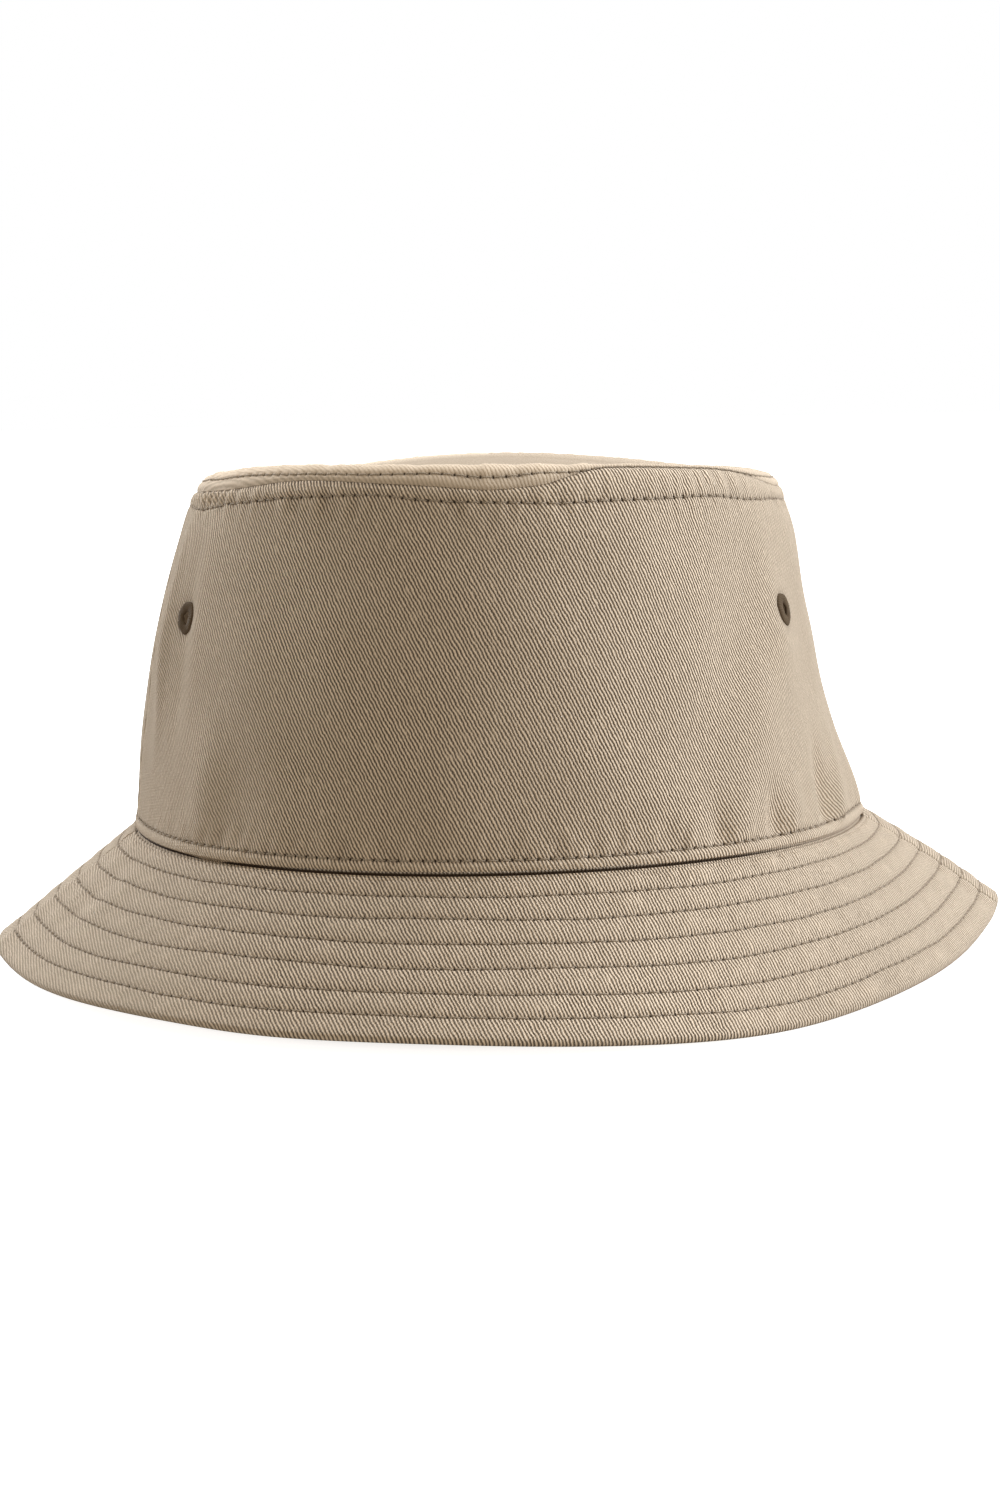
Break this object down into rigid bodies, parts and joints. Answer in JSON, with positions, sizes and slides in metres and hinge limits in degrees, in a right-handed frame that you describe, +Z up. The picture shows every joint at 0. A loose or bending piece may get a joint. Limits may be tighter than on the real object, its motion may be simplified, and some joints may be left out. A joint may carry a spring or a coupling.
{
  "type": "bucket hat",
  "caption": "Soft cotton twill bucket hat with an oval flat-topped crown, sewn eyelets, a sloping stitched brim that turns up, a sweatband and a blank label.",
  "frame": {"origin": "centre of the flat oval ring that the brim edge rests on", "axes": "+Z up through the crown, front of the hat towards -Y, +X towards the right of someone who faces the front; left and right in node names are that person's"},
  "size_m": [0.248, 0.268, 0.1129],
  "materials": {
    "twill": "khaki cotton twill, matt",
    "thread": "polyester sewing thread, satin",
    "eyelet_thread": "dense satin stitch",
    "interlining": "stiff non-woven, matt",
    "seam_tape": "plain weave binding, matt",
    "sweatband_cloth": "soft cotton, matt",
    "label_satin": "satin ribbon"
  },
  "bodies": {
    "root": {"crown_tip": "twill", "crown_front_panel": "twill", "crown_rear_panel": "twill", "tip_seam_tape": "seam_tape", "side_seam_tape_left": "seam_tape", "side_seam_tape_right": "seam_tape", "sweatband": "sweatband_cloth", "eyelet_left_front": "eyelet_thread", "eyelet_left_rear": "eyelet_thread", "eyelet_right_front": "eyelet_thread", "eyelet_right_rear": "eyelet_thread", "tip_stitching": "thread", "crown_base_stitching": "thread", "side_seam_stitching": "thread", "care_label_tack": "thread", "brim_upper_front": "twill", "brim_interlining_front": "interlining", "brim_under_front": "twill", "brim_stitching_front": "thread", "brim_upper_rear": "twill", "brim_interlining_rear": "interlining", "brim_under_rear": "twill", "brim_stitching_rear": "thread"},
    "front_brim": {"brim_upper_front_flap": "twill", "brim_interlining_front_flap": "interlining", "brim_under_front_flap": "twill", "brim_stitching_front_flap": "thread"},
    "rear_brim": {"brim_upper_rear_flap": "twill", "brim_interlining_rear_flap": "interlining", "brim_under_rear_flap": "twill", "brim_stitching_rear_flap": "thread"},
    "label": {"care_label": "label_satin"}
  },
  "joints": [
    {"name": "front_brim_fold", "type": "hinge", "parent": "root", "child": "front_brim", "pos_m": [0, -0.11214, 0.019], "axis": [-1, 0, 0], "range_deg": [0, 110]},
    {"name": "rear_brim_fold", "type": "hinge", "parent": "root", "child": "rear_brim", "pos_m": [0, 0.11214, 0.019], "axis": [1, 0, 0], "range_deg": [0, 110]},
    {"name": "care_label_swing", "type": "hinge", "parent": "root", "child": "label", "pos_m": [0, 0.0886, 0.06], "axis": [-1, 0, 0], "range_deg": [-8, 150]}
  ]
}
